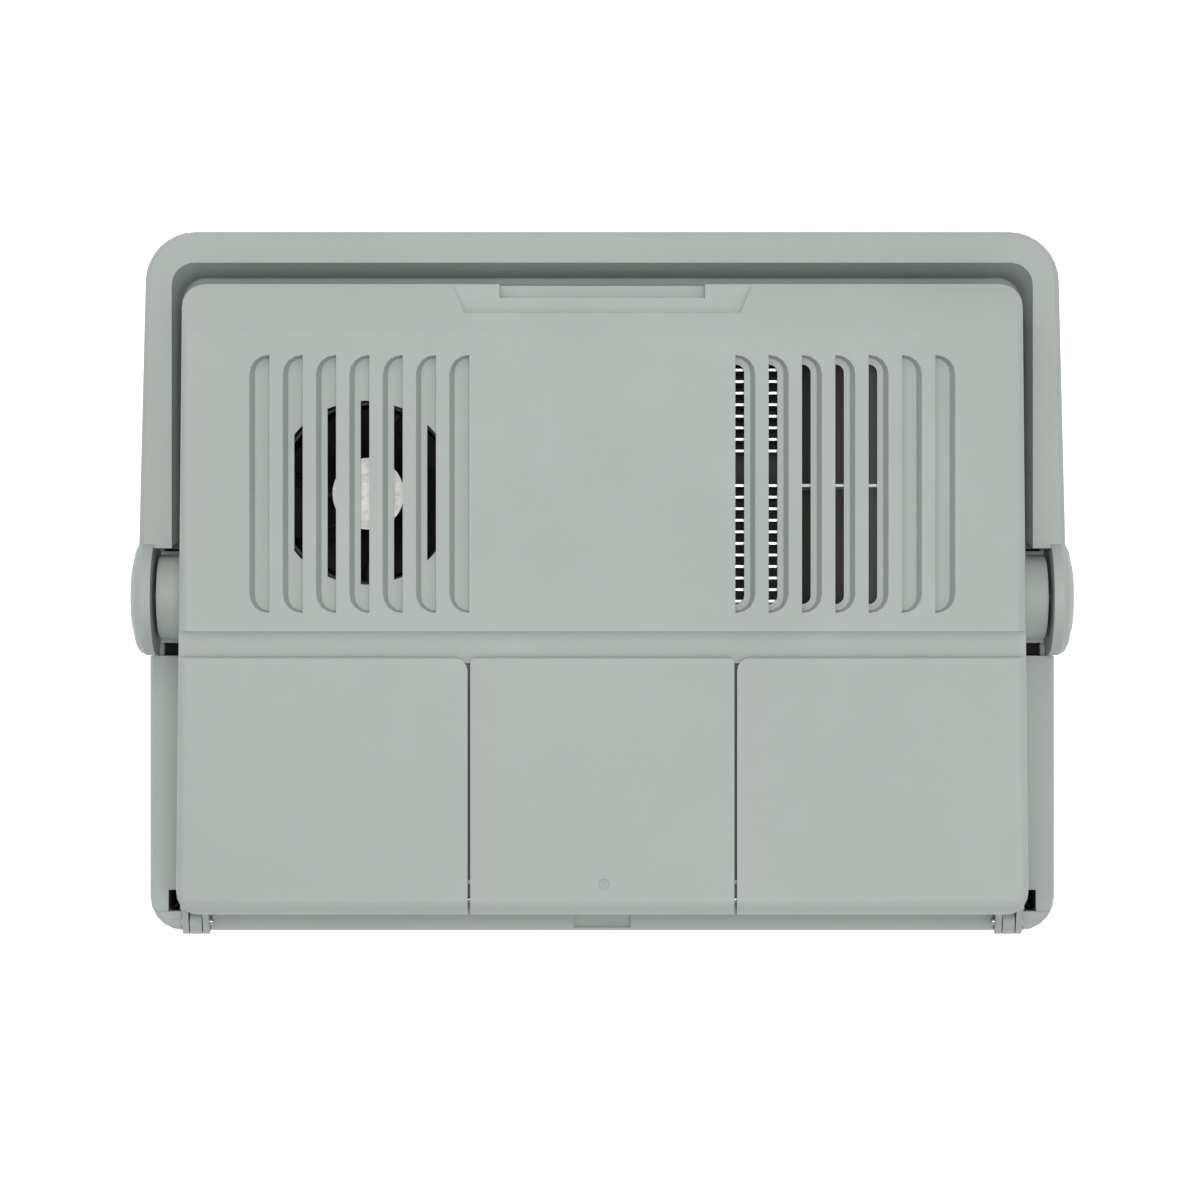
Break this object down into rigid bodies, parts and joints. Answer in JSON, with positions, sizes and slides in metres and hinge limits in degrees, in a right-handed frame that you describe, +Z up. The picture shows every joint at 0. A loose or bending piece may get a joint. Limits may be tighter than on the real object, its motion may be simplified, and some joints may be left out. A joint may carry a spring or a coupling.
{
  "type": "thermoelectric cool box",
  "caption": "Portable thermoelectric cool box with a folding carry handle, a hinged lid holding fan and fins behind louvred grilles, and covered compartments.",
  "frame": {"origin": "on the floor, under the middle of the whole box with its handle folded forward", "axes": "+Z up, +Y to the front where the lid opens, +X along the handle's pivot axis to the right as seen from above with the front at the top"},
  "size_m": [0.414, 0.3104, 0.405],
  "materials": {
    "body_plastic": "satin",
    "liner_plastic": "satin",
    "dark_plastic": "satin",
    "foam": "matte",
    "rubber": "matte",
    "aluminium": "satin",
    "steel": "satin",
    "ceramic": "matte",
    "circuit_board": "satin",
    "lamp_lens": "gloss",
    "component": "satin"
  },
  "bodies": {
    "box": {"outer_shell": "body_plastic", "foam_insulation": "foam", "inner_liner": "liner_plastic", "top_rim": "body_plastic", "handle_hub_left": "body_plastic", "handle_hub_right": "body_plastic", "foot_front_left": "rubber", "foot_front_right": "rubber", "foot_rear_left": "rubber", "foot_rear_right": "rubber", "hinge_pin_left": "steel", "hinge_pin_right": "steel", "pivot_axle_left": "steel", "pivot_axle_right": "steel"},
    "handle": {"carry_handle": "body_plastic", "handle_cap_left": "body_plastic", "handle_cap_right": "body_plastic"},
    "lid": {"lid_cover": "body_plastic", "lid_base": "liner_plastic", "lid_foam": "foam", "lid_seal": "rubber", "compartment_tray": "dark_plastic", "mains_inlet": "dark_plastic", "dc_inlet": "dark_plastic", "indicator_lens": "lamp_lens", "power_board": "circuit_board", "transformer": "component", "capacitor": "component", "door_hinge_rod": "steel", "air_duct": "dark_plastic", "duct_floor": "dark_plastic", "fan_frame": "dark_plastic", "hot_heatsink": "aluminium", "peltier_module": "ceramic", "cold_block": "aluminium", "cold_heatsink": "aluminium", "inner_fan_frame": "dark_plastic", "inner_fan_cover": "liner_plastic"},
    "door_left": {"door_left": "body_plastic"},
    "door_centre": {"door_centre": "body_plastic"},
    "door_right": {"door_right": "body_plastic"},
    "fan": {"fan_rotor": "dark_plastic"},
    "inner_fan": {"inner_fan_rotor": "dark_plastic"},
    "switch": {"mode_switch": "dark_plastic"}
  },
  "joints": [
    {"name": "handle_fold", "type": "hinge", "parent": "box", "child": "handle", "pos_m": [0, -0.00515, 0.362], "axis": [1, 0, 0], "range_deg": [0, 90]},
    {"name": "lid_hinge", "type": "hinge", "parent": "box", "child": "lid", "pos_m": [0, -0.14965, 0.3475], "axis": [1, 0, 0], "range_deg": [0, 95]},
    {"name": "left_door_hinge", "type": "hinge", "parent": "lid", "child": "door_left", "pos_m": [-0.119, -0.13575, 0.3985], "axis": [1, 0, 0], "range_deg": [0, 95]},
    {"name": "centre_door_hinge", "type": "hinge", "parent": "lid", "child": "door_centre", "pos_m": [0, -0.13575, 0.3985], "axis": [1, 0, 0], "range_deg": [0, 95]},
    {"name": "right_door_hinge", "type": "hinge", "parent": "lid", "child": "door_right", "pos_m": [0.119, -0.13575, 0.3985], "axis": [1, 0, 0], "range_deg": [0, 95]},
    {"name": "fan_spin", "type": "hinge", "parent": "lid", "child": "fan", "pos_m": [-0.10221, 0.03985, 0.3745], "axis": [0, 0, 1], "continuous": true},
    {"name": "inner_fan_spin", "type": "hinge", "parent": "lid", "child": "inner_fan", "pos_m": [0.01226, 0.04305, 0.30235], "axis": [0, 0, 1], "continuous": true},
    {"name": "mode_switch_slide", "type": "slide", "parent": "lid", "child": "switch", "axis": [0, 1, 0], "range_m": [-0.004, 0.004]}
  ]
}
